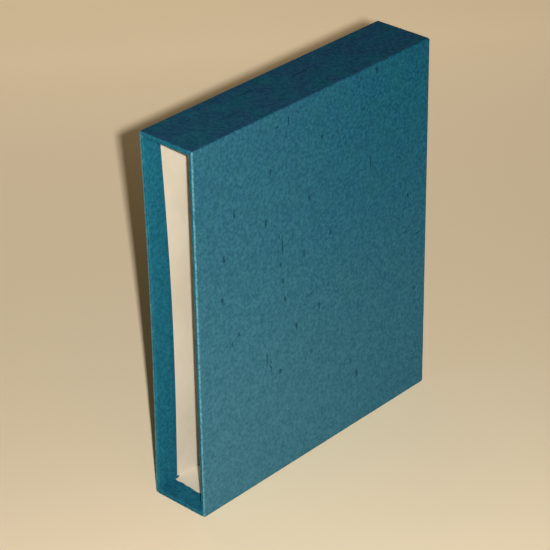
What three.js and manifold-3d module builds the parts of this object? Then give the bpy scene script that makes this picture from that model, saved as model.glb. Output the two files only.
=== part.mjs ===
// Book slipcase: five greyboards glued up into a box that is open at the mouth, lined with white
// paper and covered with mottled teal paper, which is turned in round the board edges at the mouth.
// Units are millimetres. X runs across the thickness, Y from the mouth (-Y) to the spine (+Y) and
// Z up. The origin is under the middle of the case, on the surface that it stands on.
// Everything is built straight first, and the left wall then gets the bow that it has taken on.

import * as THREE from "three";
import { RoundedBoxGeometry } from "three/addons/geometries/RoundedBoxGeometry.js";
import { mergeVertices } from "three/addons/utils/BufferGeometryUtils.js";
import Module from "manifold-3d";

const wasm = await Module();
wasm.setup();

// Driving dimensions of the case
const CASE_WIDTH = 51;
const CASE_DEPTH = 252;
const CASE_HEIGHT = 300;

// Thickness of each sheet, and of the glue between two of them
const BOARD = 2.5;
const COVER_PAPER = 0.25;
const LINING_PAPER = 0.2;
const GLUE_LINE = 0.1;

// Edges and folds
const BOARD_EDGE_RADIUS = 0.8;
const EDGE_STEPS = 2;
const TURN_IN_FOLD_RADIUS = 0.5;
const FOLD_STEPS = 4;

// Side cover: turned in at the mouth with a slightly crooked cut, and over the head and tail
const SIDE_TURN_IN_AT_HEAD = 16.2;
const SIDE_TURN_IN_AT_TAIL = 19.4;
const TURN_OVER_SLIT = 0.4;
const TURN_OVER_SETBACK = 2;
const TORN_TAB_LENGTH = 2.6;
const TORN_TAB_HEIGHT = 2.2;

// Strips that cover the head and the tail
const STRIP_INSET = 0.8;
const HEAD_TURN_IN = 17;
const TAIL_TURN_IN_AT_LEFT = 18;
const TAIL_TURN_IN_AT_RIGHT = 15.2;
const TAIL_TEAR_TEETH = 13;
const TAIL_TEAR_ROUGHNESS = 0.45;

// Linings stop this far behind the mouth
const LINING_SETBACK = 1;

// Bow of the left wall: it leans inwards at the middle of the mouth
const BOW = 2.5;
const BOW_STEPS_UP = 12;
const BOW_STEPS_BACK = 6;

// Layers of a side wall, as depths from its outer face
const SIDE_BOARD_OUTER = COVER_PAPER + GLUE_LINE;
const SIDE_BOARD_INNER = SIDE_BOARD_OUTER + BOARD;
const SIDE_LINING_OUTER = SIDE_BOARD_INNER + GLUE_LINE;
const SIDE_LINING_INNER = SIDE_LINING_OUTER + LINING_PAPER;
const SIDE_TURN_IN_OUTER = SIDE_LINING_INNER + GLUE_LINE;
const SIDE_TURN_IN_INNER = SIDE_TURN_IN_OUTER + COVER_PAPER;

// Layers of the head and the tail, as depths from the outer face of their strips
const TURN_OVER_OUTER = COVER_PAPER + GLUE_LINE;
const END_BOARD_OUTER = TURN_OVER_OUTER + COVER_PAPER + GLUE_LINE;
const END_BOARD_INNER = END_BOARD_OUTER + BOARD;
const END_LINING_OUTER = END_BOARD_INNER + GLUE_LINE;
const END_LINING_INNER = END_LINING_OUTER + LINING_PAPER;
const END_TURN_IN_OUTER = END_LINING_INNER + GLUE_LINE;
const END_TURN_IN_INNER = END_TURN_IN_OUTER + COVER_PAPER;

// Faces of the whole case
const LEFT = -CASE_WIDTH / 2;
const RIGHT = CASE_WIDTH / 2;
const MOUTH = -CASE_DEPTH / 2;
const SPINE = CASE_DEPTH / 2;
const TAIL = 0;
const HEAD = CASE_HEIGHT;
const BEYOND = 5; // how far a cutting block runs past what it cuts
const NEAR = 1e-3; // closer than this to a plane counts as on it

const coverPaper = { color: 0x2d6a79, roughness: 0.82, metalness: 0 };
const liningPaper = { color: 0xd8cdb8, roughness: 0.9, metalness: 0 };
const greyboard = { color: 0x8f887a, roughness: 0.95, metalness: 0 };

// A closed geometry as a solid that can be joined and cut.
function solidOf(geometry) {
  geometry.deleteAttribute("normal");
  geometry.deleteAttribute("uv");
  const merged = mergeVertices(geometry, 1e-5);
  return new wasm.Manifold(
    new wasm.Mesh({
      numProp: 3,
      vertProperties: merged.getAttribute("position").array,
      triVerts: new Uint32Array(merged.index.array),
    }),
  );
}

// A plain box between two corners, with its faces divided into steps along X, Y and Z.
function box(low, high, steps = [1, 1, 1]) {
  const size = high.map((value, axis) => value - low[axis]);
  const geometry = new THREE.BoxGeometry(...size, ...steps);
  geometry.translate(...low.map((value, axis) => value + size[axis] / 2));
  return geometry;
}

// The same box as a solid, to join or to cut with.
function block(low, high) {
  return solidOf(box(low, high));
}

// The case's whole outline, filled in, at a depth under its side faces and under its end faces.
function filledCase(sideDepth, endDepth, edgeRadius) {
  const geometry = new RoundedBoxGeometry(
    CASE_WIDTH - 2 * sideDepth,
    CASE_DEPTH - 2 * sideDepth,
    CASE_HEIGHT - 2 * endDepth,
    EDGE_STEPS,
    edgeRadius,
  );
  geometry.translate(0, 0, CASE_HEIGHT / 2);
  return solidOf(geometry);
}

// The outline of a folded sheet seen edge on. The path is the middle of the sheet, and each of its
// inner points is a fold whose concave side has the given radius.
function foldedOutline(path, radius, thickness) {
  const half = thickness / 2;
  const middle = radius + half;
  const leftSide = [];
  const rightSide = [];
  const put = (point, normal) => {
    leftSide.push(point.clone().addScaledVector(normal, half));
    rightSide.push(point.clone().addScaledVector(normal, -half));
  };
  const normalOf = (direction) => new THREE.Vector2(-direction.y, direction.x);
  const directions = path.slice(1).map((point, i) => point.clone().sub(path[i]).normalize());
  put(path[0], normalOf(directions[0]));
  for (let i = 1; i < path.length - 1; i++) {
    const before = directions[i - 1];
    const after = directions[i];
    const turn = Math.atan2(before.cross(after), before.dot(after));
    const setback = middle * Math.tan(Math.abs(turn) / 2);
    const start = path[i].clone().addScaledVector(before, -setback);
    const centre = start.clone().addScaledVector(normalOf(before), middle * Math.sign(turn));
    for (let step = 0; step <= FOLD_STEPS; step++) {
      const angle = (turn * step) / FOLD_STEPS;
      const point = start.clone().rotateAround(centre, angle);
      put(point, normalOf(before).rotateAround(new THREE.Vector2(), angle));
    }
  }
  put(path[path.length - 1], normalOf(directions[directions.length - 1]));
  return new THREE.Shape([...leftSide, ...rightSide.reverse()]);
}

// An outline drawn in X and Y, made thick along Z.
function extrudedUp(shape, low, high) {
  const geometry = new THREE.ExtrudeGeometry(shape, { depth: high - low, bevelEnabled: false });
  geometry.translate(0, 0, low);
  return solidOf(geometry);
}

// An outline drawn in Y and Z, made thick along X.
function extrudedAcross(shape, low, high) {
  const geometry = new THREE.ExtrudeGeometry(shape, { depth: high - low, bevelEnabled: false });
  const axes = new THREE.Matrix4().makeBasis(
    new THREE.Vector3(0, 1, 0),
    new THREE.Vector3(0, 0, 1),
    new THREE.Vector3(1, 0, 0),
  );
  geometry.applyMatrix4(axes);
  geometry.translate(low, 0, 0);
  return solidOf(geometry);
}

// The five boards. Their outer edges are sanded round, and they butt against each other.
function boardSolids() {
  const glued = filledCase(SIDE_BOARD_OUTER, END_BOARD_OUTER, BOARD_EDGE_RADIUS);
  const between = CASE_WIDTH / 2 - SIDE_BOARD_INNER - GLUE_LINE;
  const spineFace = SPINE - SIDE_BOARD_INNER;
  const piece = (low, high) => glued.intersect(block(low, high));
  const sideBottom = TAIL - BEYOND;
  const sideTop = HEAD + BEYOND;
  return {
    left_side_board: piece(
      [LEFT, MOUTH, sideBottom],
      [LEFT + SIDE_BOARD_INNER, SPINE, sideTop],
    ),
    right_side_board: piece(
      [RIGHT - SIDE_BOARD_INNER, MOUTH, sideBottom],
      [RIGHT, SPINE, sideTop],
    ),
    spine_board: piece([-between, spineFace, sideBottom], [between, SPINE, sideTop]),
    head_board: piece(
      [-between, MOUTH, HEAD - END_BOARD_INNER],
      [between, spineFace - GLUE_LINE, sideTop],
    ),
    tail_board: piece(
      [-between, MOUTH, sideBottom],
      [between, spineFace - GLUE_LINE, TAIL + END_BOARD_INNER],
    ),
  };
}

// The five linings, each cut to the inside of its wall.
function liningSheets() {
  const front = MOUTH + LINING_SETBACK;
  const back = SPINE - SIDE_LINING_OUTER;
  const endWidth = CASE_WIDTH / 2 - SIDE_LINING_OUTER;
  const spineWidth = CASE_WIDTH / 2 - SIDE_LINING_INNER - GLUE_LINE;
  const bottom = TAIL + END_LINING_INNER + GLUE_LINE;
  const top = HEAD - END_LINING_INNER - GLUE_LINE;
  return {
    left_side_lining: box(
      [LEFT + SIDE_LINING_OUTER, front, bottom],
      [LEFT + SIDE_LINING_INNER, back, top],
      [1, BOW_STEPS_BACK, BOW_STEPS_UP],
    ),
    right_side_lining: box(
      [RIGHT - SIDE_LINING_INNER, front, bottom],
      [RIGHT - SIDE_LINING_OUTER, back, top],
    ),
    spine_lining: box(
      [-spineWidth, SPINE - SIDE_LINING_INNER, bottom],
      [spineWidth, back, top],
    ),
    head_lining: box(
      [-endWidth, front, HEAD - END_LINING_INNER],
      [endWidth, back, HEAD - END_LINING_OUTER],
    ),
    tail_lining: box(
      [-endWidth, front, TAIL + END_LINING_OUTER],
      [endWidth, back, TAIL + END_LINING_INNER],
    ),
  };
}

// The part of the side cover that goes round the mouth edge of one side board and onto its lining.
// It is made for the left wall, or mirrored for the right one.
function sideTurnIn(side) {
  const low = TAIL + END_TURN_IN_INNER + GLUE_LINE;
  const high = HEAD - END_TURN_IN_INNER - GLUE_LINE;
  const bandMiddle = MOUTH + COVER_PAPER / 2;
  const flapMiddle = RIGHT - SIDE_TURN_IN_OUTER - COVER_PAPER / 2;
  const longest = Math.max(SIDE_TURN_IN_AT_HEAD, SIDE_TURN_IN_AT_TAIL);
  const path = [
    new THREE.Vector2(side * (RIGHT - SIDE_BOARD_INNER / 2), bandMiddle),
    new THREE.Vector2(side * flapMiddle, bandMiddle),
    new THREE.Vector2(side * flapMiddle, MOUTH + longest + BEYOND),
  ];
  const flap = extrudedUp(foldedOutline(path, TURN_IN_FOLD_RADIUS, COVER_PAPER), low, high);
  const beyondCut = new THREE.Shape([
    new THREE.Vector2(MOUTH + SIDE_TURN_IN_AT_TAIL, low - BEYOND),
    new THREE.Vector2(MOUTH + longest + 2 * BEYOND, low - BEYOND),
    new THREE.Vector2(MOUTH + longest + 2 * BEYOND, high + BEYOND),
    new THREE.Vector2(MOUTH + SIDE_TURN_IN_AT_HEAD, high + BEYOND),
  ]);
  return flap.subtract(extrudedAcross(beyondCut, LEFT - BEYOND, RIGHT + BEYOND));
}

// A torn corner that sticks out of the left turn-in, just above the floor of the case.
function tornTab() {
  const low = TAIL + END_TURN_IN_INNER + GLUE_LINE;
  const edge = MOUTH + SIDE_TURN_IN_AT_TAIL;
  const outline = new THREE.Shape([
    new THREE.Vector2(edge - TORN_TAB_LENGTH, low),
    new THREE.Vector2(edge + TORN_TAB_LENGTH / 2, low),
    new THREE.Vector2(edge + TORN_TAB_LENGTH, low + TORN_TAB_HEIGHT / 2),
    new THREE.Vector2(edge - TORN_TAB_LENGTH, low + TORN_TAB_HEIGHT),
  ]);
  return extrudedAcross(outline, LEFT + SIDE_TURN_IN_OUTER, LEFT + SIDE_TURN_IN_INNER);
}

// Slits that part the turn-overs on one end: one along the middle, and a mitre to each spine corner.
function turnOverSlits(low, high) {
  const half = TURN_OVER_SLIT / 2;
  const foldReach = BOARD_EDGE_RADIUS + GLUE_LINE + COVER_PAPER;
  const meet = SPINE - CASE_WIDTH / 2;
  const middle = block([-half, MOUTH - BEYOND, low], [half, meet, high]);
  const mitreLength = (CASE_WIDTH / 2 - foldReach) * Math.SQRT2;
  const mitre = (side) => {
    const geometry = new THREE.BoxGeometry(mitreLength, TURN_OVER_SLIT, high - low);
    geometry.translate(mitreLength / 2, 0, (low + high) / 2);
    geometry.rotateZ(side > 0 ? Math.PI / 4 : (3 * Math.PI) / 4);
    geometry.translate(0, meet, 0);
    return solidOf(geometry);
  };
  return middle.add(mitre(1)).add(mitre(-1));
}

// The sheet round both sides and the spine. It is turned over the head and the tail, where the
// turn-overs meet in the middle, and turned in at the mouth.
function sideCoverSolid() {
  const inside = filledCase(
    COVER_PAPER,
    TURN_OVER_OUTER + COVER_PAPER,
    BOARD_EDGE_RADIUS + GLUE_LINE,
  );
  const sheet = filledCase(
    0,
    TURN_OVER_OUTER,
    BOARD_EDGE_RADIUS + GLUE_LINE + COVER_PAPER,
  ).subtract(inside);
  const openHalf = CASE_WIDTH / 2 - SIDE_LINING_INNER;
  const mouth = block(
    [-openHalf, MOUTH - BEYOND, TAIL - BEYOND],
    [openHalf, MOUTH + TURN_OVER_SETBACK, HEAD + BEYOND],
  );
  return sheet
    .subtract(mouth)
    .subtract(turnOverSlits(TAIL - BEYOND, TAIL + END_BOARD_INNER))
    .subtract(turnOverSlits(HEAD - END_BOARD_INNER, HEAD + BEYOND))
    .add(sideTurnIn(-1))
    .add(sideTurnIn(1))
    .add(tornTab());
}

// A strip over one end of the case: flat on the end, folded round the mouth edge of the end board
// and turned in onto its lining. up is 1 for the head and -1 for the tail.
function endStrip(up, turnIn) {
  const level = (depth) => (up > 0 ? HEAD - depth : TAIL + depth);
  const sheetMiddle = level(COVER_PAPER / 2);
  const flapMiddle = level(END_TURN_IN_OUTER + COVER_PAPER / 2);
  const bandMiddle = MOUTH + COVER_PAPER / 2;
  const path = [
    new THREE.Vector2(MOUTH + TURN_OVER_SETBACK + BEYOND, sheetMiddle),
    new THREE.Vector2(bandMiddle, sheetMiddle),
    new THREE.Vector2(bandMiddle, flapMiddle),
    new THREE.Vector2(MOUTH + turnIn, flapMiddle),
  ];
  const foldHalf = CASE_WIDTH / 2 - SIDE_TURN_IN_OUTER;
  const folded = extrudedAcross(
    foldedOutline(path, TURN_IN_FOLD_RADIUS, COVER_PAPER),
    -foldHalf,
    foldHalf,
  );
  const faces = [level(0), level(COVER_PAPER)].sort((a, b) => a - b);
  const flat = block(
    [LEFT + STRIP_INSET, MOUTH + STRIP_INSET, faces[0]],
    [RIGHT - STRIP_INSET, SPINE - STRIP_INSET, faces[1]],
  );
  return folded.add(flat);
}

// What the torn edge of the tail's turn-in has lost: a saw line that also runs out of square.
function tornAway() {
  const half = CASE_WIDTH / 2 - SIDE_TURN_IN_OUTER;
  const line = [];
  for (let tooth = 0; tooth <= TAIL_TEAR_TEETH; tooth++) {
    const across = tooth / TAIL_TEAR_TEETH;
    const straight = THREE.MathUtils.lerp(TAIL_TURN_IN_AT_LEFT, TAIL_TURN_IN_AT_RIGHT, across);
    const unevenness = Math.sin(tooth * 2.6) + 0.6 * Math.sin(tooth * 4.9 + 1);
    const x = THREE.MathUtils.lerp(-half - BEYOND, half + BEYOND, across);
    line.push(new THREE.Vector2(x, MOUTH + straight + TAIL_TEAR_ROUGHNESS * unevenness));
  }
  const beyond = MOUTH + TAIL_TURN_IN_AT_LEFT + TAIL_TURN_IN_AT_RIGHT;
  line.push(new THREE.Vector2(half + BEYOND, beyond));
  line.push(new THREE.Vector2(-half - BEYOND, beyond));
  const low = TAIL + END_LINING_INNER;
  return extrudedUp(new THREE.Shape(line), low, low + 2 * GLUE_LINE + COVER_PAPER);
}

function stripSolids() {
  const widest = Math.max(TAIL_TURN_IN_AT_LEFT, TAIL_TURN_IN_AT_RIGHT) + 1;
  return {
    head_strip: endStrip(1, HEAD_TURN_IN),
    tail_strip: endStrip(-1, widest).subtract(tornAway()),
  };
}

// The stretch of the left wall that the bow moves: between the floor and the ceiling of the case,
// and in front of the spine board.
function bowedSpan() {
  return {
    low: TAIL + END_TURN_IN_INNER + GLUE_LINE,
    high: HEAD - END_TURN_IN_INNER - GLUE_LINE,
    back: SPINE - SIDE_BOARD_INNER,
  };
}

// How far the left wall has moved inwards at a place on it.
function bowAt(y, z) {
  const { low, high, back } = bowedSpan();
  const upward = (z - low) / (high - low);
  const forward = (back - y) / (back - MOUTH);
  return BOW * Math.sin(Math.PI * upward) * forward;
}

// Whether the bow can move any of the stretch between two points of a mesh.
function isMovedByBow(a, b) {
  const wallFace = LEFT + SIDE_TURN_IN_INNER + GLUE_LINE;
  const { low, high, back } = bowedSpan();
  const outside =
    Math.max(a[0], b[0]) > wallFace ||
    Math.min(a[1], b[1]) >= back ||
    Math.max(a[2], b[2]) <= low ||
    Math.min(a[2], b[2]) >= high;
  return !outside;
}

// Splits the edges of a mesh that the bow moves, where one coordinate has the given values.
function splitAt(mesh, axis, values) {
  for (const value of values) {
    const crossings = new Map();
    const heightOf = (vertex) => mesh.points[vertex][axis] - value;
    const crossing = (a, b) => {
      const [low, high] = a < b ? [a, b] : [b, a];
      const key = `${low},${high}`;
      if (crossings.has(key)) return crossings.get(key);
      const from = mesh.points[low];
      const to = mesh.points[high];
      const crosses =
        Math.abs(heightOf(low)) > NEAR &&
        Math.abs(heightOf(high)) > NEAR &&
        heightOf(low) * heightOf(high) < 0 &&
        isMovedByBow(from, to);
      let made = -1;
      if (crosses) {
        const share = heightOf(low) / (heightOf(low) - heightOf(high));
        const point = from.map((start, i) => start + (to[i] - start) * share);
        point[axis] = value;
        made = mesh.points.push(point) - 1;
      }
      crossings.set(key, made);
      return made;
    };
    mesh.faces = mesh.faces.flatMap((face) => {
      const cuts = face.map((vertex, i) => crossing(vertex, face[(i + 1) % 3]));
      const count = cuts.filter((cut) => cut >= 0).length;
      if (count === 0) return [face];
      // Turned so that the first edge is split, and the third as well where two are.
      const first = count === 1 ? cuts.findIndex((cut) => cut >= 0) : (cuts.indexOf(-1) + 2) % 3;
      const [a, b, c] = [0, 1, 2].map((i) => face[(first + i) % 3]);
      const ab = cuts[first];
      if (count === 1) return [[a, ab, c], [ab, b, c]];
      const ca = cuts[(first + 2) % 3];
      return [[a, ab, ca], [ab, b, c], [ab, c, ca]];
    });
  }
}

// Moves the points of a geometry that lie in the left wall as the bow moves them.
function bent(geometry) {
  const position = geometry.getAttribute("position");
  for (let i = 0; i < position.count; i++) {
    const point = [position.getX(i), position.getY(i), position.getZ(i)];
    if (isMovedByBow(point, point)) position.setX(i, point[0] + bowAt(point[1], point[2]));
  }
  return geometry;
}

function evenSteps(low, high, count) {
  return Array.from({ length: count + 1 }, (_, i) => THREE.MathUtils.lerp(low, high, i / count));
}

// A solid of the left wall, divided finely enough to be bent as that wall is.
function bowed(solid) {
  const { vertProperties, triVerts } = solid.getMesh();
  const mesh = { points: [], faces: [] };
  for (let i = 0; i < vertProperties.length; i += 3) {
    mesh.points.push([...vertProperties.slice(i, i + 3)]);
  }
  for (let i = 0; i < triVerts.length; i += 3) {
    mesh.faces.push([...triVerts.slice(i, i + 3)]);
  }
  const { low, high, back } = bowedSpan();
  splitAt(mesh, 2, evenSteps(low, high, BOW_STEPS_UP));
  splitAt(mesh, 1, evenSteps(MOUTH, back, BOW_STEPS_BACK));
  const geometry = new THREE.BufferGeometry();
  geometry.setAttribute("position", new THREE.Float32BufferAttribute(mesh.points.flat(), 3));
  geometry.setIndex(mesh.faces.flat());
  return bent(geometry);
}

// A solid as it was made.
function straight(solid) {
  const { vertProperties, triVerts } = solid.getMesh();
  const geometry = new THREE.BufferGeometry();
  geometry.setAttribute("position", new THREE.BufferAttribute(vertProperties, 3));
  geometry.setIndex(new THREE.BufferAttribute(triVerts, 1));
  return geometry;
}

const slipcase = new THREE.Group();
slipcase.name = "slipcase";

function addPiece(name, geometry, finish) {
  const flat = geometry.toNonIndexed();
  flat.computeVertexNormals();
  const mesh = new THREE.Mesh(flat, new THREE.MeshStandardMaterial(finish));
  mesh.name = name;
  slipcase.add(mesh);
}

for (const [name, solid] of Object.entries(boardSolids())) {
  addPiece(name, name.startsWith("left") ? bowed(solid) : straight(solid), greyboard);
}
for (const [name, sheet] of Object.entries(liningSheets())) {
  addPiece(name, name.startsWith("left") ? bent(sheet) : sheet, liningPaper);
}
addPiece("side_cover", bowed(sideCoverSolid()), coverPaper);
for (const [name, solid] of Object.entries(stripSolids())) {
  addPiece(name, straight(solid), coverPaper);
}

export default slipcase;
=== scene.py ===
"""Looks of a book slipcase: its papers as fine meshes, its materials, a studio light and the camera.

Lengths are in metres. X runs across the thickness, Y from the mouth to the spine and Z up.
"""

import math

import bpy
from mathutils import Matrix, Vector, noise


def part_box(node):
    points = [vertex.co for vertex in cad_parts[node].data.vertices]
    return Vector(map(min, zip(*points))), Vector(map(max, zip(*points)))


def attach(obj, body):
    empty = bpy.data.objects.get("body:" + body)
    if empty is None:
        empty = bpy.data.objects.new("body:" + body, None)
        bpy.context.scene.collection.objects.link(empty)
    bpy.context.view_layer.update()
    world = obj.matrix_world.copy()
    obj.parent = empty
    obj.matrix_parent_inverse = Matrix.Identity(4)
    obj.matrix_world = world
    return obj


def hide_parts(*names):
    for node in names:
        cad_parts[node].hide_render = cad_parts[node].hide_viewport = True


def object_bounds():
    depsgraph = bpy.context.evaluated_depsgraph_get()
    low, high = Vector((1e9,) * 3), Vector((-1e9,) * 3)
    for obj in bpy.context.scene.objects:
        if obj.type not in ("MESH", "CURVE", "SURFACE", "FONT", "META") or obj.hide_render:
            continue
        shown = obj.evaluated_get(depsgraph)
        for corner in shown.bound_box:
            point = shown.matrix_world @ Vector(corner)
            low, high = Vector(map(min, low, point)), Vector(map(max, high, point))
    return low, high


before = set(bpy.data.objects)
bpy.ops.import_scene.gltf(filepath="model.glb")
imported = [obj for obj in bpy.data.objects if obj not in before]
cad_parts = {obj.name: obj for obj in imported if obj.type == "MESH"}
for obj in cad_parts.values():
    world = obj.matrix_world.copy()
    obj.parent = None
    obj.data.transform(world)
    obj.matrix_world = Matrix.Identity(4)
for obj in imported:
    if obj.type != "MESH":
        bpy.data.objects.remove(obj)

MM = 0.001
CAD_LOW, CAD_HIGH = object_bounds()

# Sheets and the glue under them
COVER_PAPER = 0.25 * MM
GLUE_LINE = 0.1 * MM

# Faces of the case, from the frame
LEFT, MOUTH, TAIL = CAD_LOW
RIGHT, SPINE, HEAD = CAD_HIGH
COVER_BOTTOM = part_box("side_cover")[0].z
COVER_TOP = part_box("side_cover")[1].z
LINING_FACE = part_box("right_side_lining")[0].x
TURN_IN_FACE = LINING_FACE - GLUE_LINE - COVER_PAPER
FLOOR_LINING_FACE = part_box("tail_lining")[1].z
FLOOR_TURN_IN_FACE = FLOOR_LINING_FACE + GLUE_LINE + COVER_PAPER
TURN_IN_LOW = FLOOR_TURN_IN_FACE + GLUE_LINE
TURN_IN_HIGH = HEAD - TURN_IN_LOW
SPINE_BOARD_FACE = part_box("spine_board")[0].y

# Folds: radius of the convex side
EDGE_RADIUS = 1.15 * MM
TURN_IN_FOLD = 0.75 * MM
ARC_STEPS = 6

# Side cover
SIDE_TURN_IN_AT_HEAD = 16.2 * MM
SIDE_TURN_IN_AT_TAIL = 19.4 * MM
LEFT_TURN_IN_CURVE = 1.5 * MM
TURN_OVER_ROWS = [20 * MM, 15 * MM, 10 * MM, 6 * MM]
NEAR_EDGE_ROW = 2 * MM
TURN_OVER_SLIT = 0.4 * MM
TORN_TAB_LENGTH = 2.6 * MM
TORN_TAB_HEIGHT = 2.2 * MM

# Strips on the head and the tail
STRIP_INSET = 0.8 * MM
HEAD_TURN_IN = 17 * MM
TAIL_TURN_IN_AT_LEFT = 18 * MM
TAIL_TURN_IN_AT_RIGHT = 15.2 * MM
TEAR_TEETH = 13
TEAR_ROUGHNESS = 0.45 * MM
TEAR_FRAY = 0.28 * MM
TEAR_FRAY_LENGTH = 0.9 * MM
TEAR_FINE_FRAY_LENGTH = 0.35 * MM
TEAR_PATTERN_MARGIN = 5 * MM

# Two waves that make the teeth uneven: share, turn from one tooth to the next, and start
TOOTH_WAVES = [(1.0, 2.6, 0.0), (0.6, 4.9, 1.0)]

# How far the cut edges of the turn-ins wander, and over what length
SIDE_CUT_WANDER = 0.08 * MM
HEAD_CUT_WANDER = 0.05 * MM
CUT_WANDER_LENGTH = 2 * MM

# Rows of the noise that the edges are read from, far enough apart to be unlike each other
SIDE_CUT_NOISE_ROW = 9
HEAD_CUT_NOISE_ROW = 4
FRAY_NOISE_ROW = 7
FINE_FRAY_NOISE_ROW = 17

# Bow of the left wall, inwards at the middle of the mouth
BOW = 2.5 * MM

# Painted light on the seen floor: how its colour rises with the distance behind the case
FLOOR_RISE_TOWARDS = (-0.76, 0.65, 0)
FLOOR_RISE_FROM = -0.05
FLOOR_RISE_TO = 0.74
FLOOR_RISE_CURVE = 1.6
FLOOR_RISE = 0.95

FLOOR_COLOUR = (252, 231, 196)
FLOOR_REACH = 6.0

# Where the seen floor turns into an even pale backdrop: distances from a middle
BACKDROP_MIDDLE = (-0.25, 0.27, 0)
BACKDROP_FROM = 0.55
BACKDROP_TO = 1.3
BACKDROP_COLOUR = (204, 187, 158)

# Size of the cells of the meshes
WALL_CELL = 4 * MM
SUPPORT = 0.5 * MM
TURN_IN_COLUMNS = 10
BAND_COLUMNS = 3
STRIP_CELL = 8 * MM
STRIP_COLUMN = 0.4 * MM
STRIP_TURN_IN_ROWS = 12
TAB_ROWS = 6
TOLERANCE = 1e-6
WELD_REACH = 0.01 * MM
SHARP_EDGE = math.radians(50)

# How pale the paper is rubbed, where 1 is the palest, and under 0 where painted shade darkens it instead
NEAR_BAND_WEAR = 0.15
# The far band and the outer mouth edges are pale partly from rubbing and partly as a painted highlight
FAR_BAND_WEAR_AND_HIGHLIGHT = 0.6
OUTER_EDGE_WEAR_AND_HIGHLIGHT = 0.85
SIDE_SHARE_OF_EDGE_WEAR_AND_HIGHLIGHT = 0.35
# Painted shade on the near fold, standing in for the near wall's shadow inside the mouth
NEAR_FOLD_PAINTED_SHADE = -1.0
FAR_FOLD_WEAR = 0.1
SPINE_WEAR = 0.25
SPINE_WEAR_BESIDE_EDGE = 0.3
END_WEAR = 0.1
STRIP_FRONT_WEAR = 0.05
STRIP_EDGE_WEAR = 0.25
STRIP_FOLD_WEAR = 0.1
RUBBED_WEAR = 0.28
RUBBED_REACH = 14 * MM

# How fresh the strips' colour is over the front edge, where 1 or more is as fresh as inside
STRIP_EDGE_FRESHNESS = (0.2, 1.3)

# Dark creases in the near side's paper: place along Y and Z, half width and half height, in mm
SIDE_CREASES = [
    (-38, 192, 0.9, 5.5), (-40, 177, 1.3, 1.6), (-41, 201, 0.8, 1.8), (-38, 163, 1.2, 1.6),
    (-55, 217, 1.1, 2.4), (-87, 237, 0.8, 3.2), (14, 182, 1.5, 1.6), (-15, 176, 1.4, 1.8),
    (-98, 206, 1.6, 2.2), (1, 126, 1.0, 3.6), (-24, 119, 1.5, 1.8), (-36, 147, 1.0, 2.0),
    (-101, 174, 1.6, 1.8), (-85, 139, 1.7, 1.4), (-92, 134, 1.0, 1.3), (-56, 105, 0.9, 4.2),
    (-52, 96, 0.7, 4.2), (-42, 88, 1.6, 1.6), (-8, 89, 1.1, 2.2), (37, 61, 0.9, 1.8),
    (44, 47, 1.3, 3.0), (59, 222, 0.7, 4.4), (5, 263, 1.5, 1.3), (-30, 289, 0.9, 2.6),
    (-42, 288, 1.3, 1.1), (-49, 256, 1.4, 1.3), (65, 295, 1.4, 2.4), (103, 177, 1.2, 1.2),
    (116, 140, 5.0, 0.7), (101, 147, 1.6, 0.9), (-9, 220, 1.4, 1.2), (113, 92, 1.5, 1.2),
]

# Dark creases in the head strip: place along X and Y, half width and half length, in mm
HEAD_CREASES = [
    (-20, -58, 0.9, 5.0), (-12, -34, 1.0, 6.0), (6, -70, 0.8, 4.0), (-6, 16, 0.9, 7.0), (9, 60, 0.8, 5.0),
]

# Creases as painted: shares of the sizes above, depth across the face, and how far they wander
CREASE_WIDTH_SHARE = 1.2
CREASE_LENGTH_SHARE = 1.7
CREASE_DEPTH = 4 * MM
CREASE_WANDER = 4.5 * MM
CREASE_WANDER_SIZE = 2.2 * MM

# Sizes of the blotches in the papers and the board
MOTTLE = 2.6 * MM
TINTS = 20 * MM
CLOUDS = 9 * MM
GRAIN = 0.7 * MM
FLECKS = 4.5 * MM
RUBBED_GRAIN = 1.6 * MM
LINING_AGE = 40 * MM
LINING_FIBRE = 1.2 * MM
BOARD_PULP = 1.5 * MM


def lerp(a, b, t):
    return a + (b - a) * t


def steps(low, high, cell):
    """Evenly spaced values from low to high, about a cell apart."""
    count = max(1, round(abs(high - low) / cell))
    return [lerp(low, high, i / count) for i in range(count + 1)]


def fractions(count):
    return [i / count for i in range(count + 1)]


def bow_at(point):
    """How far the left wall has moved inwards at a point on it."""
    in_wall = point.x < -TURN_IN_FACE + GLUE_LINE
    if not in_wall or not TURN_IN_LOW < point.z < TURN_IN_HIGH or point.y > SPINE_BOARD_FACE:
        return 0.0
    upward = (point.z - TURN_IN_LOW) / (TURN_IN_HIGH - TURN_IN_LOW)
    forward = (SPINE_BOARD_FACE - point.y) / (SPINE_BOARD_FACE - MOUTH)
    return BOW * math.sin(math.pi * upward) * forward


class SheetPoint:
    """A point of a sheet's outer face, with how worn it is, with its painted highlight and painted shade,
    and how far it lies inside the case.
    """

    def __init__(self, place, wear_and_painted_light=0.0, inside=0.0):
        self.place = Vector(place)
        self.wear_and_painted_light = wear_and_painted_light
        self.inside = inside


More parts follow.
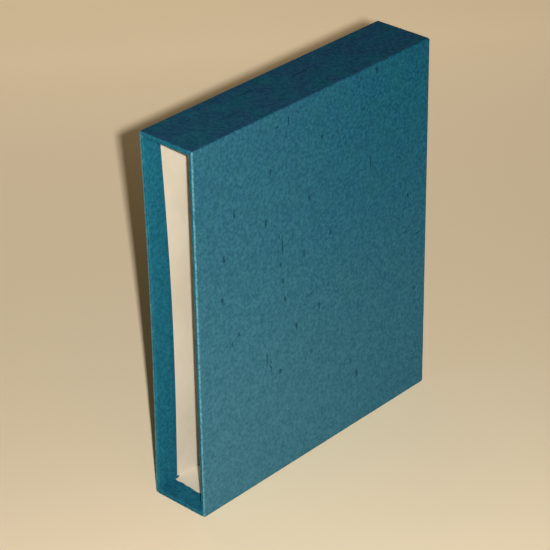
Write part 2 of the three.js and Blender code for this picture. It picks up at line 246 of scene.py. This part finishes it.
def sheet_object(name, rows, breaks=()):
    """A sheet of cover paper from rows of points of its outer face. None leaves a hole in the grid.
    No faces join the rows i and i + 1 for an i in breaks."""
    points, faces, index = [], [], {}
    for r, row in enumerate(rows):
        for c, point in enumerate(row):
            if point is not None:
                index[r, c] = len(points)
                points.append(point)
    for r in range(len(rows) - 1):
        if r in breaks:
            continue
        for c in range(len(rows[r]) - 1):
            corners = [index.get(key) for key in ((r, c), (r, c + 1), (r + 1, c + 1), (r + 1, c))]
            if None not in corners:
                faces.append(corners)
    mesh = bpy.data.meshes.new(name)
    mesh.from_pydata([point.place for point in points], [], faces)
    for key in ("wear_and_painted_light", "inside"):
        attribute = mesh.attributes.new(key, "FLOAT", "POINT")
        attribute.data.foreach_set("value", [getattr(point, key) for point in points])
    piece = bpy.data.objects.new(name, mesh)
    bpy.context.scene.collection.objects.link(piece)
    weld = piece.modifiers.new("weld", "WELD")
    weld.merge_threshold = WELD_REACH
    solid = piece.modifiers.new("paper", "SOLIDIFY")
    solid.thickness = COVER_PAPER
    solid.offset = -1
    solid.use_even_offset = True
    evaluated = piece.evaluated_get(bpy.context.evaluated_depsgraph_get())
    final = bpy.data.meshes.new_from_object(evaluated)
    piece.modifiers.clear()
    piece.data = final
    final.name = name
    smooth_sheet(final)
    return piece


def smooth_sheet(mesh):
    """Smooth shading, with the cut edges of the sheet left sharp."""
    mesh.polygons.foreach_set("use_smooth", [True] * len(mesh.polygons))
    mesh.set_sharp_from_angle(angle=SHARP_EDGE)


def cover_outline(inset, band_wear_and_highlight, fold_wear_and_shade, turn_in=None):
    """Half of the side cover's outer face in plan, from the mouth edge to the middle of the spine,
    drawn in by an inset. turn_in is the length of the turn-in, at heights that have one. The front band
    and the fold inside it have their own wear, with a painted highlight on the far band and the outer
    mouth edge, and painted shade on the near fold.
    Each entry is (x, y, wear and painted light, inside), or None where the sheet has no paper."""
    core = max(EDGE_RADIUS, inset)
    radius = max(EDGE_RADIUS - inset, 0)
    band_reach = RIGHT - LINING_FACE
    has_band = inset < band_reach
    front = MOUTH + min(inset, band_reach)
    front_core = MOUTH + max(EDGE_RADIUS, min(inset, band_reach))
    fold_start = TURN_IN_FACE + TURN_IN_FOLD
    half = []
    if turn_in is None:
        half += [None] * (TURN_IN_COLUMNS + ARC_STEPS + 1)
        half += [(LINING_FACE, front, 0, 0)] if has_band else [None]
    else:
        for t in fractions(TURN_IN_COLUMNS):
            y = MOUTH + lerp(turn_in, TURN_IN_FOLD + SUPPORT, t)
            half.append((TURN_IN_FACE, y, 0, 1))
        for t in fractions(ARC_STEPS):
            angle = t * math.pi / 2
            x = fold_start - TURN_IN_FOLD * math.cos(angle)
            y = MOUTH + TURN_IN_FOLD * (1 - math.sin(angle))
            half.append((x, y, fold_wear_and_shade * math.sin(angle), 1))
    for t in fractions(BAND_COLUMNS):
        x = lerp(fold_start, RIGHT - core, t)
        half.append((x, front, lerp(fold_wear_and_shade, band_wear_and_highlight, t**0.5), 1) if has_band else None)
    for t in fractions(ARC_STEPS):
        angle = t * math.pi / 2
        x = RIGHT - core + radius * math.sin(angle)
        y = front_core - radius * math.cos(angle)
        # Outer mouth edge: rubbed pale, and partly a painted highlight
        half.append((x, y, OUTER_EDGE_WEAR_AND_HIGHLIGHT * lerp(1, SIDE_SHARE_OF_EDGE_WEAR_AND_HIGHLIGHT, t**2), 1 - t))
    back = SPINE - core
    wall = [front_core + SUPPORT]
    wall += steps(front_core + 4 * SUPPORT, back - 4 * SUPPORT, WALL_CELL)
    wall += [back - SUPPORT]
    half += [(RIGHT - inset, y, 0, 0) for y in wall]
    for t in fractions(ARC_STEPS):
        angle = t * math.pi / 2
        x = RIGHT - core + radius * math.cos(angle)
        y = back + radius * math.sin(angle)
        half.append((x, y, SPINE_WEAR * lerp(SPINE_WEAR_BESIDE_EDGE, 1, math.sin(2 * angle)), 0))
    near = 1 - SUPPORT / RIGHT
    for t in [near] + steps(1 - 4 * SUPPORT / RIGHT, 0, WALL_CELL / RIGHT):
        half.append(((RIGHT - core) * t, SPINE - inset, 0, 0))
    return half


def side_turn_in(z, side):
    """How long the turn-in is at a height, with the torn tab at the foot of the left one."""
    t = (z - TURN_IN_LOW) / (TURN_IN_HIGH - TURN_IN_LOW)
    length = lerp(SIDE_TURN_IN_AT_TAIL, SIDE_TURN_IN_AT_HEAD, t)
    row = side * SIDE_CUT_NOISE_ROW
    length += SIDE_CUT_WANDER * noise.noise(Vector((row, 0, z / CUT_WANDER_LENGTH)))
    if side < 0:
        length += LEFT_TURN_IN_CURVE * math.sin(math.pi * t)
        up = (z - TURN_IN_LOW) / TORN_TAB_HEIGHT
        if up < 0.5:
            length += TORN_TAB_LENGTH * (0.5 + up)
        elif up < 1:
            length += TORN_TAB_LENGTH * 2 * (1 - up)
    return length


def side_cover_levels():
    """Where the side cover's rows lie, from the head's turn-over down to the tail's. Each is a height, how
    far the outline is drawn in there and whether it has turn-ins. Second, the rows after which the grid
    breaks."""
    insets = [RIGHT - TURN_OVER_SLIT / 2, *TURN_OVER_ROWS, RIGHT - LINING_FACE]
    insets += [NEAR_EDGE_ROW, EDGE_RADIUS + SUPPORT]
    head = [(COVER_TOP, inset, False) for inset in insets]
    for t in fractions(ARC_STEPS):
        angle = (1 - t) * math.pi / 2
        z = COVER_TOP - EDGE_RADIUS * (1 - math.sin(angle))
        head.append((z, EDGE_RADIUS * (1 - math.cos(angle)), False))
    head.append((COVER_TOP - EDGE_RADIUS - SUPPORT, 0.0, False))
    head.append((TURN_IN_HIGH, 0.0, False))
    tail = [(HEAD - z, inset, has) for z, inset, has in reversed(head)]
    tab_top = TURN_IN_LOW + TORN_TAB_HEIGHT
    heights = [TURN_IN_HIGH]
    heights += steps(TURN_IN_HIGH - 4 * SUPPORT, tab_top + WALL_CELL, WALL_CELL)
    heights += steps(tab_top, TURN_IN_LOW, TORN_TAB_HEIGHT / TAB_ROWS)
    walls = [(z, 0.0, True) for z in heights]
    breaks = [len(head) - 1, len(head) + len(walls) - 1]
    return head + walls + tail, breaks


def side_cover_row(z, inset, has_turn_in):
    """The side cover's outline at one height, from the left mouth edge round the spine to the right."""
    from_end = min(z - COVER_BOTTOM, COVER_TOP - z) / EDGE_RADIUS
    end_wear = END_WEAR * math.sin(math.pi * from_end) if 0 < from_end < 1 else 0
    near_head = RUBBED_WEAR * max(0, 1 - (COVER_TOP - z) / RUBBED_REACH)
    row = []
    for side in (-1, 1):
        turn_in = side_turn_in(z, side) if has_turn_in else None
        band_and_fold_marks = (NEAR_BAND_WEAR, NEAR_FOLD_PAINTED_SHADE) if side > 0 else (FAR_BAND_WEAR_AND_HIGHLIGHT, FAR_FOLD_WEAR)
        half = []
        for entry in cover_outline(inset, *band_and_fold_marks, turn_in):
            if entry is None:
                half.append(None)
                continue
            x, y, wear_and_painted_light, inside = entry
            fading = lerp(1, 0, (y - MOUTH) / (SPINE - MOUTH))
            wear_and_painted_light = max(wear_and_painted_light, end_wear * fading, near_head * (1 - inside) * fading)
            point = SheetPoint((x * side, y, z), wear_and_painted_light, inside)
            point.place.x += bow_at(point.place)
            half.append(point)
        row += half[:-1] if side < 0 else half[::-1]
    return row


def strip_rows(up, turn_in_end):
    """Rows of an end strip from its spine end over the mouth edge to the end of its turn-in.
    up is 1 for the head and -1 for the tail. turn_in_end gives the turn-in's end for an x."""

    def level(depth):
        return HEAD - depth if up > 0 else TAIL + depth

    fold_half = TURN_IN_FACE + COVER_PAPER
    flat_half = RIGHT - STRIP_INSET
    fine = steps(-fold_half, fold_half, STRIP_COLUMN)
    across = [-flat_half, -fold_half - SUPPORT] + fine + [fold_half + SUPPORT, flat_half]
    flat_front = MOUTH + STRIP_INSET
    path = [(y, 0.0, 0.0, 0.0) for y in steps(SPINE - STRIP_INSET, flat_front + SUPPORT, STRIP_CELL)]
    path.append((flat_front, 0.0, STRIP_FRONT_WEAR, 0.0))
    fold = TURN_IN_FOLD
    for t in fractions(ARC_STEPS):
        angle = t * math.pi / 2
        y = MOUTH + fold * (1 - math.sin(angle))
        path.append((y, fold * (1 - math.cos(angle)), STRIP_EDGE_WEAR, lerp(*STRIP_EDGE_FRESHNESS, t)))
    deep = FLOOR_TURN_IN_FACE
    for t in fractions(ARC_STEPS):
        angle = t * math.pi / 2
        y = MOUTH + fold * (1 - math.cos(angle))
        path.append((y, deep - fold * (1 - math.sin(angle)), STRIP_FOLD_WEAR, STRIP_EDGE_FRESHNESS[1]))
    folded_from = next(i for i, entry in enumerate(path) if entry[0] < flat_front - TOLERANCE)
    rows = []
    for i, (y, depth, wear_and_painted_light, inside) in enumerate(path):
        row = []
        for x in across:
            beside = abs(x) > fold_half + TOLERANCE
            if i >= folded_from and beside:
                row.append(None)
                continue
            row.append(SheetPoint((x, y, level(depth)), wear_and_painted_light, inside))
        rows.append(row)
    for t in fractions(STRIP_TURN_IN_ROWS)[1:]:
        row = []
        for x in across:
            if abs(x) > fold_half + TOLERANCE:
                row.append(None)
                continue
            row.append(SheetPoint((x, lerp(MOUTH + fold, turn_in_end(x), t), level(deep)), 0, 1))
        rows.append(row)
    if up < 0:
        return rows
    return [row[::-1] for row in rows]


def straight_end(x):
    """The cut edge of the head's turn-in."""
    wander = noise.noise(Vector((x / CUT_WANDER_LENGTH, HEAD_CUT_NOISE_ROW, 0)))
    return MOUTH + HEAD_TURN_IN + HEAD_CUT_WANDER * wander


def torn_end(x):
    """The torn edge of the tail's turn-in: coarse teeth, then fine fraying."""
    half = TURN_IN_FACE + COVER_PAPER
    reach = half + TEAR_PATTERN_MARGIN
    tooth = (x + reach) / (2 * reach) * TEAR_TEETH
    before = math.floor(tooth)

    def uneven(n):
        return sum(share * math.sin(n * turn + start) for share, turn, start in TOOTH_WAVES)

    coarse = TEAR_ROUGHNESS * lerp(uneven(before), uneven(before + 1), tooth - before)
    fray = TEAR_FRAY * noise.noise(Vector((x / TEAR_FRAY_LENGTH, FRAY_NOISE_ROW, 0)))
    fray += TEAR_FRAY / 2 * noise.noise(Vector((x / TEAR_FINE_FRAY_LENGTH, FINE_FRAY_NOISE_ROW, 0)))
    straight = lerp(TAIL_TURN_IN_AT_LEFT, TAIL_TURN_IN_AT_RIGHT, (x + reach) / (2 * reach))
    return MOUTH + straight + coarse + fray


class Shader:
    """A short way to write a material's nodes."""

    def __init__(self, name):
        self.material = bpy.data.materials.new(name)
        self.material.use_nodes = True
        self.tree = self.material.node_tree
        self.surface = self.tree.nodes["Principled BSDF"]

    def node(self, kind, settings=(), **inputs):
        made = self.tree.nodes.new(kind)
        for key, value in dict(settings).items():
            setattr(made, key, value)
        for key, value in inputs.items():
            self.put(value, made.inputs[key.replace("_", " ")])
        return made

    def put(self, value, socket):
        if isinstance(value, bpy.types.NodeSocket):
            self.tree.links.new(value, socket)
        else:
            socket.default_value = value

    def place(self, stretch=(1, 1, 1), turn=(0, 0, 0)):
        """Where a point is in the object, scaled and turned."""
        coordinate = self.tree.nodes.new("ShaderNodeTexCoord").outputs["Object"]
        mapping = self.node("ShaderNodeMapping", Vector=coordinate, Scale=stretch, Rotation=turn)
        return mapping.outputs["Vector"]

    def noise(self, size, detail=2.0, rough=0.5, stretch=(1, 1, 1), turn=(0, 0, 0)):
        """Noise from 0 to 1 whose blotches are about a size across, in metres."""
        made = self.node(
            "ShaderNodeTexNoise",
            Vector=self.place(stretch, turn),
            Scale=1 / size,
            Detail=detail,
            Roughness=rough,
        )
        return made.outputs["Fac"]

    def ramp(self, value, low, high):
        """0 under low, 1 over high, and a smooth step between."""
        made = self.node("ShaderNodeMapRange", {"interpolation_type": "SMOOTHSTEP"}, Value=value)
        self.put(low, made.inputs["From Min"])
        self.put(high, made.inputs["From Max"])
        return made.outputs["Result"]

    def math(self, operation, a, b=0.0):
        made = self.tree.nodes.new("ShaderNodeMath")
        made.operation = operation
        self.put(a, made.inputs[0])
        self.put(b, made.inputs[1])
        return made.outputs[0]

    def ramp_straight(self, value, low, high):
        """0 under low, 1 over high, and a straight slope between."""
        made = self.node("ShaderNodeMapRange", Value=value)
        self.put(low, made.inputs["From Min"])
        self.put(high, made.inputs["From Max"])
        return made.outputs["Result"]

    def vector(self, operation, a, b):
        """A vector operation's result, which is a number for a length or a dot product."""
        made = self.tree.nodes.new("ShaderNodeVectorMath")
        made.operation = operation
        self.put(a, made.inputs[0])
        self.put(b, made.inputs["Scale" if operation == "SCALE" else 1])
        return made.outputs["Value" if operation in ("LENGTH", "DOT_PRODUCT") else "Vector"]

    def mix(self, share, a, b):
        """The colour a, with a share of the colour b over it."""
        made = self.tree.nodes.new("ShaderNodeMix")
        made.data_type = "RGBA"
        self.put(share, made.inputs["Factor"])
        self.put(a, made.inputs[6])
        self.put(b, made.inputs[7])
        return made.outputs[2]

    def separate(self, vector):
        return self.node("ShaderNodeSeparateXYZ", Vector=vector).outputs

    def attribute(self, name):
        made = self.tree.nodes.new("ShaderNodeAttribute")
        made.attribute_name = name
        return made.outputs["Fac"]

    def bump(self, height, strength, distance):
        made = self.node("ShaderNodeBump", Height=height, Strength=strength, Distance=distance)
        return made.outputs["Normal"]


def colour(red, green, blue):
    """A colour written as 0 to 255 on a screen, as the linear values that a shader takes."""

    def linear(value):
        share = value / 255
        return share / 12.92 if share <= 0.04045 else ((share + 0.055) / 1.055) ** 2.4

    return (linear(red), linear(green), linear(blue), 1.0)


def crease_strength(s, creases, flat_axis):
    """1 in the middle of each crooked dark crease and 0 away from them. Each crease is a place and a
    half size along the two axes of its face, and flat_axis is the axis across the face."""
    blotches = s.node("ShaderNodeTexNoise", Vector=s.place(), Scale=1 / CREASE_WANDER_SIZE, Detail=2)
    wander = s.vector("SUBTRACT", blotches.outputs["Color"], (0.5, 0.5, 0.5))
    place = s.vector("ADD", s.place(), s.vector("MULTIPLY", wander, (CREASE_WANDER,) * 3))
    face = (RIGHT, TAIL, HEAD)[flat_axis]
    nearest = 1.0
    for across, along, half_width, half_length in creases:
        middle = [across * MM, along * MM]
        per_size = [1 / (CREASE_WIDTH_SHARE * half_width * MM), 1 / (CREASE_LENGTH_SHARE * half_length * MM)]
        middle.insert(flat_axis, face)
        per_size.insert(flat_axis, 1 / CREASE_DEPTH)
        away = s.vector("MULTIPLY", s.vector("SUBTRACT", place, middle), per_size)
        nearest = s.math("MINIMUM", s.vector("LENGTH", away, (0, 0, 0)), nearest)
    return s.math("SUBTRACT", 1.0, s.ramp(nearest, 0.5, 1.0))


def cover_paper_colour(s, mottle, grain, greying, dark, light):
    """Dull teal paper with a mottle like leather, clouds and flecks. It is paler and greyer towards the
    foot of the mouth, and fresher in colour where it is turned in."""
    tint = s.ramp(s.noise(TINTS, detail=3), 0.35, 0.65)
    clouds = s.ramp(s.noise(CLOUDS, detail=2), 0.3, 0.7)
    made = s.mix(mottle, dark, light)
    greener = s.mix(mottle, colour(3, 69, 86), colour(23, 91, 108))
    made = s.mix(s.math("MULTIPLY", tint, 0.75), made, greener)
    place = s.separate(s.place())
    upward = s.math("MULTIPLY", s.ramp(place[2], TAIL, HEAD), 0.6)
    backward = s.math("MULTIPLY", s.ramp(place[1], MOUTH, SPINE), 0.4)
    low_and_front = s.math("SUBTRACT", 1.0, s.math("ADD", upward, backward))
    greyer = s.mix(mottle, colour(50, 100, 118), colour(70, 120, 136))
    made = s.mix(s.math("MULTIPLY", low_and_front, greying), made, greyer)
    fresh = s.mix(mottle, colour(10, 81, 102), colour(30, 105, 126))
    made = s.mix(s.attribute("inside"), made, fresh)
    deeper = colour(6, 60, 78)
    made = s.mix(s.math("MULTIPLY", clouds, 0.16), made, deeper)
    pale_fibre = colour(60, 130, 145)
    made = s.mix(s.math("MULTIPLY", s.ramp(grain, 0.35, 0.75), 0.12), made, pale_fibre)
    flecks = s.ramp(s.noise(FLECKS, detail=2, rough=0.6, turn=(0.5, 0.1, 0.9)), 0.66, 0.76)
    dark_fleck = colour(10, 52, 68)
    return s.mix(s.math("MULTIPLY", flecks, 0.4), made, dark_fleck)


def rubbed_and_painted_light(s, paper):
    """The paper with its pale rubbed edges, partly a painted highlight, and painted shade darkening its near
    fold.
    """
    # Pale rubbed paper, which along the mouth's edges is partly a painted highlight
    rubbed_and_highlight = s.math("ADD", s.math("MULTIPLY", s.attribute("wear_and_painted_light"), 0.6), s.noise(RUBBED_GRAIN, detail=3))
    bare_fibre_and_highlight = colour(112, 160, 166)
    made = s.mix(s.math("MULTIPLY", s.ramp(rubbed_and_highlight, 0.66, 1.15), 0.72), paper, bare_fibre_and_highlight)
    # Painted shade: the near fold is darkened to stand in for the near wall's shadow inside the mouth
    painted_shade = s.ramp(s.math("MULTIPLY", s.attribute("wear_and_painted_light"), -1.0), 0.0, 0.9)
    painted_shade_colour = colour(6, 34, 42)
    return s.mix(s.math("MULTIPLY", painted_shade, 0.85), made, painted_shade_colour)


def cover_paper_material(name, greying, dark, light, creases, flat_axis):
    """The cover paper, with the creases of one of its faces."""
    s = Shader(name)
    mottle = s.ramp(s.noise(MOTTLE, detail=3, rough=0.62), 0.3, 0.7)
    grain = s.noise(GRAIN, detail=2, rough=0.7)
    crease = crease_strength(s, creases, flat_axis)
    made = cover_paper_colour(s, mottle, grain, greying, dark, light)
    in_crease = colour(4, 42, 56)
    made = s.mix(s.math("MULTIPLY", crease, 0.68), made, in_crease)
    s.put(rubbed_and_painted_light(s, made), s.surface.inputs["Base Color"])
    s.put(0.9, s.surface.inputs["Roughness"])
    s.put(0.08, s.surface.inputs["Specular IOR Level"])
    height = s.math("ADD", s.math("MULTIPLY", mottle, 0.6), grain)
    height = s.math("SUBTRACT", height, s.math("MULTIPLY", crease, 1.5))
    s.put(s.bump(height, 0.3, 0.12 * MM), s.surface.inputs["Normal"])
    return s.material


def lining_paper_material():
    """Smooth warm white paper with a faint fibre and slight yellowing."""
    s = Shader("lining_paper")
    aged = s.noise(LINING_AGE, detail=3)
    fibre = s.noise(LINING_FIBRE, detail=3, stretch=(1, 1, 0.25))
    made = s.mix(s.ramp(aged, 0.3, 0.7), colour(220, 209, 188), colour(212, 200, 177))
    made = s.mix(s.math("MULTIPLY", s.ramp(fibre, 0.5, 0.8), 0.2), made, colour(194, 181, 158))
    s.put(made, s.surface.inputs["Base Color"])
    s.put(0.88, s.surface.inputs["Roughness"])
    s.put(0.2, s.surface.inputs["Specular IOR Level"])
    s.put(s.bump(fibre, 0.15, 0.05 * MM), s.surface.inputs["Normal"])
    return s.material


def greyboard_material():
    """Raw grey board with flecks of the waste paper that it is made of."""
    s = Shader("greyboard")
    pulp = s.noise(BOARD_PULP, detail=4, rough=0.7)
    made = s.mix(s.ramp(pulp, 0.3, 0.7), colour(128, 120, 106), colour(164, 156, 140))
    s.put(made, s.surface.inputs["Base Color"])
    s.put(0.95, s.surface.inputs["Roughness"])
    s.put(s.bump(pulp, 0.4, 0.1 * MM), s.surface.inputs["Normal"])
    return s.material


def add_piece(piece, material, slot_name, *nodes):
    piece.data.materials.clear()
    piece.data.materials.append(material)
    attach(piece, "root")
    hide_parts(*nodes)


def dress_nodes(materials):
    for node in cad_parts.values():
        kind = "lining_paper" if node.name.endswith("lining") else "greyboard"
        if node.name.endswith(("cover", "strip")):
            kind = "cover_paper"
        node.data.materials.clear()
        node.data.materials.append(materials[kind])


def make_papers(materials):
    levels, breaks = side_cover_levels()
    rows = [side_cover_row(*level) for level in levels]
    side_cover = sheet_object("side_cover_paper", rows, breaks)
    add_piece(side_cover, materials["cover_paper"], "cover_paper", "side_cover")
    head = sheet_object("head_strip_paper", strip_rows(1, straight_end))
    add_piece(head, materials["strip_paper"], "cover_paper", "head_strip")
    tail = sheet_object("tail_strip_paper", strip_rows(-1, torn_end))
    add_piece(tail, materials["strip_paper"], "cover_paper", "tail_strip")


def seen_ray(tree):
    """1 for a ray that shows a surface to the camera, straight or through a reflection, else 0."""
    rays = tree.nodes.new("ShaderNodeLightPath").outputs
    added = tree.nodes.new("ShaderNodeMath")
    tree.links.new(rays["Is Camera Ray"], added.inputs[0])
    tree.links.new(rays["Is Glossy Ray"], added.inputs[1])
    every = tree.nodes.new("ShaderNodeMath")
    every.use_clamp = True
    tree.links.new(added.outputs[0], every.inputs[0])
    tree.links.new(rays["Is Transmission Ray"], every.inputs[1])
    return every.outputs[0]


def make_floor():
    """A pale cream floor. Where it is seen itself, its colour rises gently away from the mouth as painted
    light, and it turns into an even backdrop far from the case."""
    s = Shader("floor")
    plain = colour(*FLOOR_COLOUR)
    back = s.vector("DOT_PRODUCT", s.place(), FLOOR_RISE_TOWARDS)
    share = s.math("POWER", s.ramp_straight(back, FLOOR_RISE_FROM, FLOOR_RISE_TO), FLOOR_RISE_CURVE)
    seen = seen_ray(s.tree)
    painted_light_gain = s.math("ADD", 1.0, s.math("MULTIPLY", s.math("MULTIPLY", share, FLOOR_RISE), seen))
    near = s.node("ShaderNodeBsdfDiffuse", Color=s.vector("SCALE", plain[:3], painted_light_gain))
    far = s.node("ShaderNodeEmission", Color=colour(*BACKDROP_COLOUR))
    away = s.vector("LENGTH", s.vector("SUBTRACT", s.place(), BACKDROP_MIDDLE), (0, 0, 0))
    chosen = s.tree.nodes.new("ShaderNodeMixShader")
    s.put(s.math("MULTIPLY", s.ramp(away, BACKDROP_FROM, BACKDROP_TO), seen), chosen.inputs[0])
    s.put(near.outputs[0], chosen.inputs[1])
    s.put(far.outputs[0], chosen.inputs[2])
    s.put(chosen.outputs[0], s.tree.nodes["Material Output"].inputs["Surface"])
    s.tree.nodes.remove(s.surface)
    mesh = bpy.data.meshes.new("floor")
    corners = [(x * FLOOR_REACH, y * FLOOR_REACH, 0) for x, y in ((-1, -1), (1, -1), (1, 1), (-1, 1))]
    mesh.from_pydata(corners, [], [(0, 1, 2, 3)])
    mesh.materials.append(s.material)
    floor = bpy.data.objects.new("floor", mesh)
    bpy.context.scene.collection.objects.link(floor)


# Camera, as seen from the middle of the case
CAMERA_AZIMUTH = math.radians(42.571)
CAMERA_ELEVATION = math.radians(29.369)
CAMERA_DISTANCE = 1.6929
CAMERA_PAN = (-12.95 * MM, -6.58 * MM)
CAMERA_ROLL = math.radians(-0.896)
CAMERA_LENS_MM = 148.8
CAMERA_SENSOR_MM = 36
CAMERA_CLIP_END = 50

# Place of the key lamp from the lens: to the right, up and towards the case
KEY_FROM_LENS = (38 * MM, 12 * MM, -130 * MM)
KEY_SIZE = (0.02, 0.02)
KEY_POWER = 1.12
KEY_TINT = (1, 1, 1)

# Fill lamps: azimuth, distance over the floor, height, size, power and tint
LOW_RIGHT_FILL = (math.radians(72), 1.3, 0.2, (1.2, 0.32), 0.18, (1, 0.92, 0.84))
BACK_FILL = (math.radians(236), 2, 0.12, (1.2, 0.2), 0.32, (1, 0.86, 0.7))

# Light from all round
WORLD_TINT = (1, 0.78, 0.38, 1)
WORLD_STRENGTH = 0.045


def direction(azimuth, elevation):
    """From the case towards a point round it. Azimuth 0 is in front of the mouth."""
    level = math.cos(elevation)
    return Vector((math.sin(azimuth) * level, -math.cos(azimuth) * level, math.sin(elevation)))


def make_camera():
    centre = (CAD_LOW + CAD_HIGH) / 2
    back = direction(CAMERA_AZIMUTH, CAMERA_ELEVATION)
    place = centre + back * CAMERA_DISTANCE
    right = (-back).cross(Vector((0, 0, 1))).normalized()
    up = right.cross(-back)
    aim = centre + right * CAMERA_PAN[0] + up * CAMERA_PAN[1]
    forward = (aim - place).normalized()
    right = forward.cross(Vector((0, 0, 1))).normalized()
    up = right.cross(forward)
    turned_right = right * math.cos(CAMERA_ROLL) + up * math.sin(CAMERA_ROLL)
    turned_up = up * math.cos(CAMERA_ROLL) - right * math.sin(CAMERA_ROLL)
    data = bpy.data.cameras.new("camera")
    data.lens = CAMERA_LENS_MM
    data.sensor_width = CAMERA_SENSOR_MM
    data.clip_end = CAMERA_CLIP_END
    camera = bpy.data.objects.new("camera", data)
    turn = Matrix((turned_right, turned_up, -forward)).transposed().to_4x4()
    camera.matrix_world = Matrix.Translation(place) @ turn
    bpy.context.scene.collection.objects.link(camera)
    bpy.context.scene.camera = camera
    return camera


def lamp(name, place, aim, size, power, tint):
    """A soft lamp. size is its width and height, and power lights a surface that faces it square on
    to the level at which a colour renders as written when it is 1."""
    data = bpy.data.lights.new(name, "AREA")
    data.shape = "RECTANGLE"
    data.size, data.size_y = size
    data.energy = power * math.pi**2 * (place - aim).length_squared
    data.color = tint
    light = bpy.data.objects.new(name, data)
    turn = (aim - place).to_track_quat("-Z", "Y").to_matrix().to_4x4()
    light.matrix_world = Matrix.Translation(place) @ turn
    bpy.context.scene.collection.objects.link(light)


def make_lights(camera):
    middle = (CAD_LOW + CAD_HIGH) / 2
    key_place = camera.matrix_world.translation + camera.matrix_world.to_3x3() @ Vector(KEY_FROM_LENS)
    lamp("key", key_place, middle, KEY_SIZE, KEY_POWER, KEY_TINT)
    for name, fill in (("low_right_fill", LOW_RIGHT_FILL), ("back_fill", BACK_FILL)):
        azimuth, distance, height, size, power, tint = fill
        place = direction(azimuth, 0) * distance + Vector((0, 0, height))
        lamp(name, place, middle, size, power, tint)
    make_world()
    bpy.context.scene.view_settings.view_transform = "Standard"


def make_world():
    """A faint warm light from all round, and a pale backdrop where the world is seen itself."""
    world = bpy.data.worlds.new("world")
    world.use_nodes = True
    tree = world.node_tree
    lit = tree.nodes["Background"]
    lit.inputs["Color"].default_value = WORLD_TINT
    lit.inputs["Strength"].default_value = WORLD_STRENGTH
    backdrop = tree.nodes.new("ShaderNodeBackground")
    backdrop.inputs["Color"].default_value = colour(*BACKDROP_COLOUR)
    chosen = tree.nodes.new("ShaderNodeMixShader")
    tree.links.new(seen_ray(tree), chosen.inputs[0])
    tree.links.new(lit.outputs[0], chosen.inputs[1])
    tree.links.new(backdrop.outputs[0], chosen.inputs[2])
    tree.links.new(chosen.outputs[0], tree.nodes["World Output"].inputs["Surface"])
    bpy.context.scene.world = world


materials = {
    "cover_paper": cover_paper_material(
        "cover_paper", 0.9, colour(0, 59, 85), colour(21, 89, 116), SIDE_CREASES, 0
    ),
    "strip_paper": cover_paper_material(
        "strip_paper", 0.15, colour(14, 53, 84), colour(34, 76, 108), HEAD_CREASES, 2
    ),
    "lining_paper": lining_paper_material(),
    "greyboard": greyboard_material(),
}
dress_nodes(materials)
make_papers(materials)
make_floor()
make_lights(make_camera())
